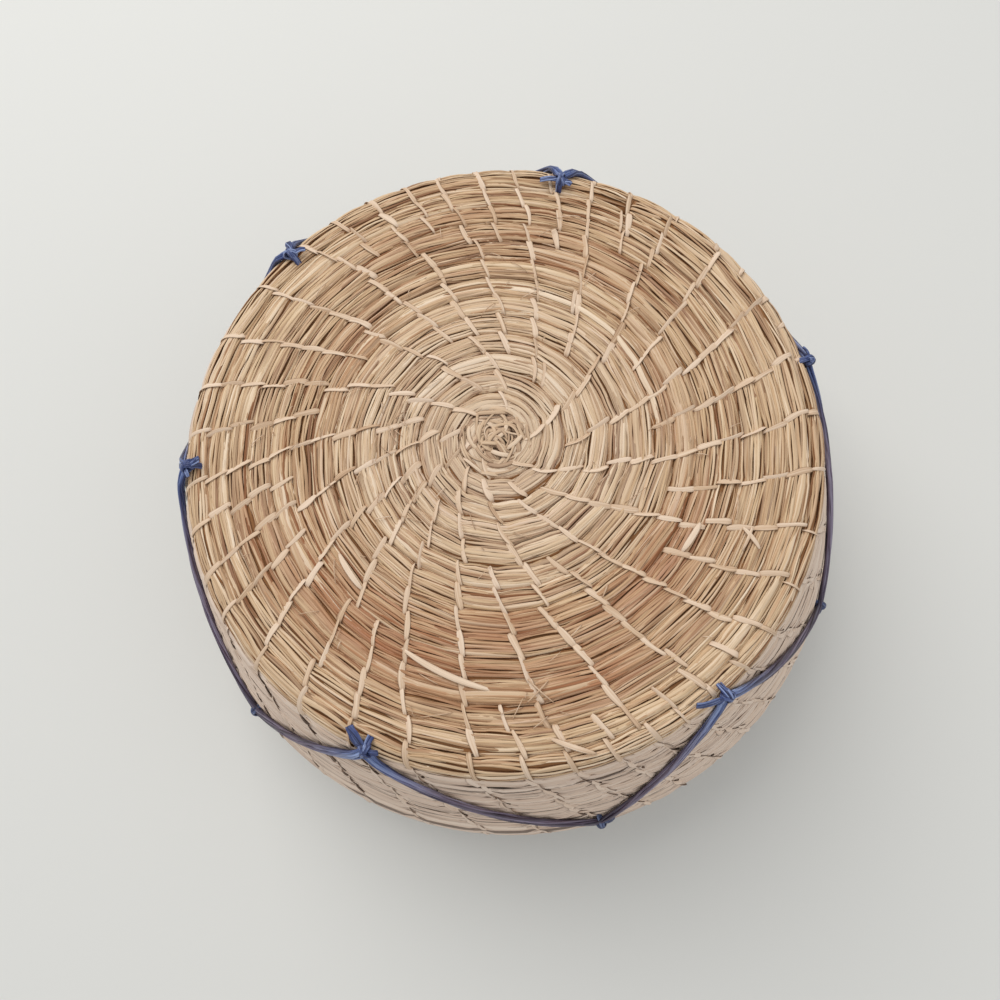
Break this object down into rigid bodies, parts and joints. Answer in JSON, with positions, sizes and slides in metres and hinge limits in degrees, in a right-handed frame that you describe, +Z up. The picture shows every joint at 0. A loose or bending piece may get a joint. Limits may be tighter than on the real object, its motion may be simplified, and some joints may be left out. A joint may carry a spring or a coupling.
{
  "type": "tortilla warmer",
  "caption": "Round hand-coiled palm basket with a flared lift-off lid, stitched rows and a zigzag twine tied round the lid's wall.",
  "frame": {"origin": "middle of the foot, on the surface that the basket stands on", "axes": "+Z up through the middle of the lid; -Y towards the front, where the picture was taken from"},
  "size_m": [0.2394, 0.2397, 0.1167],
  "materials": {
    "palm_disc": "coiled palm strands, satin",
    "palm_wall": "coiled palm strands, dull",
    "palm_strip": "split palm leaf, satin",
    "palm_knot": "twisted palm strands",
    "twine": "bundle of fine synthetic fibres, slight sheen",
    "tie": "bundle of fine synthetic fibres, slight sheen"
  },
  "bodies": {
    "base": {"base_floor_coil": "palm_disc", "base_floor_stitches": "palm_strip", "base_start_knot": "palm_knot", "base_tail_whipping": "palm_strip", "base_wall_coil": "palm_wall", "base_wall_stitches": "palm_strip"},
    "lid": {"lid_disc_coil": "palm_disc", "lid_disc_stitches": "palm_strip", "lid_start_knot": "palm_knot", "lid_tail_whipping": "palm_strip", "lid_wall_coil": "palm_wall", "lid_wall_stitches": "palm_strip", "low_tie_1": "tie", "low_tie_2": "tie", "low_tie_3": "tie", "low_tie_4": "tie", "low_tie_5": "tie", "low_tie_6": "tie", "top_tie_1": "tie", "top_tie_2": "tie", "top_tie_3": "tie", "top_tie_4": "tie", "top_tie_5": "tie", "top_tie_6": "tie", "zigzag_twine": "twine"}
  },
  "joints": [
    {"name": "lid_lift", "type": "slide", "parent": "base", "child": "lid", "axis": [0, 0, 1], "range_m": [0, 0.15]}
  ]
}
